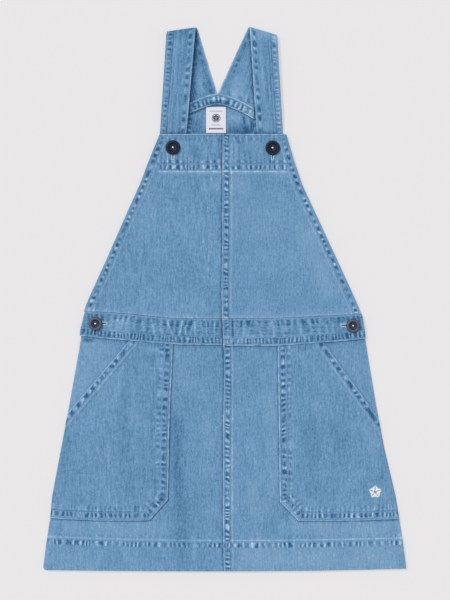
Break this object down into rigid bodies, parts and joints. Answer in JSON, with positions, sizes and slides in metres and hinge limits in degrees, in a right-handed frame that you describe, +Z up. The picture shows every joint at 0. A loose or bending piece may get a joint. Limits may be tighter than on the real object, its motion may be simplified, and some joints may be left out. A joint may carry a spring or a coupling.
{
  "type": "denim pinafore dress",
  "caption": "Child's sleeveless denim pinafore dress laid flat: buttoned shoulder straps, bib, side-buttoned waistband, slanted patch pockets and a flared skirt.",
  "frame": {"origin": "on the surface it lies on, under the middle of its outline", "axes": "+Z up from the surface towards the dress's front, +Y from the hem to the shoulder straps, +X to the right of someone who looks down at the front with the straps at the top"},
  "size_m": [0.4194, 0.6321, 0.0092],
  "materials": {
    "denim": "washed light-blue cotton denim, matt, with worn pale seams",
    "denim_inside": "the same denim seen from its inside, a little flatter and darker",
    "label_tape": "white woven tape, blank",
    "button_metal": "dark gunmetal shank button, satin",
    "tack_metal": "bright nickel tack"
  },
  "bodies": {
    "root": {"bib_left": "denim", "bib_right": "denim", "waistband_left": "denim", "waistband_right": "denim", "skirt_front_left": "denim", "skirt_front_right": "denim", "pocket_left": "denim", "pocket_right": "denim", "strap_left": "denim", "strap_right": "denim", "back_bodice": "denim_inside", "back_neck_facing": "denim_inside", "back_waistband": "denim_inside", "skirt_back": "denim_inside", "neck_label": "label_tape", "button_bib_left": "button_metal", "button_bib_right": "button_metal", "button_waist_left": "button_metal", "button_waist_right": "button_metal", "tack_bib_left": "tack_metal", "tack_bib_right": "tack_metal", "tack_waist_left": "tack_metal", "tack_waist_right": "tack_metal"}
  },
  "joints": []
}
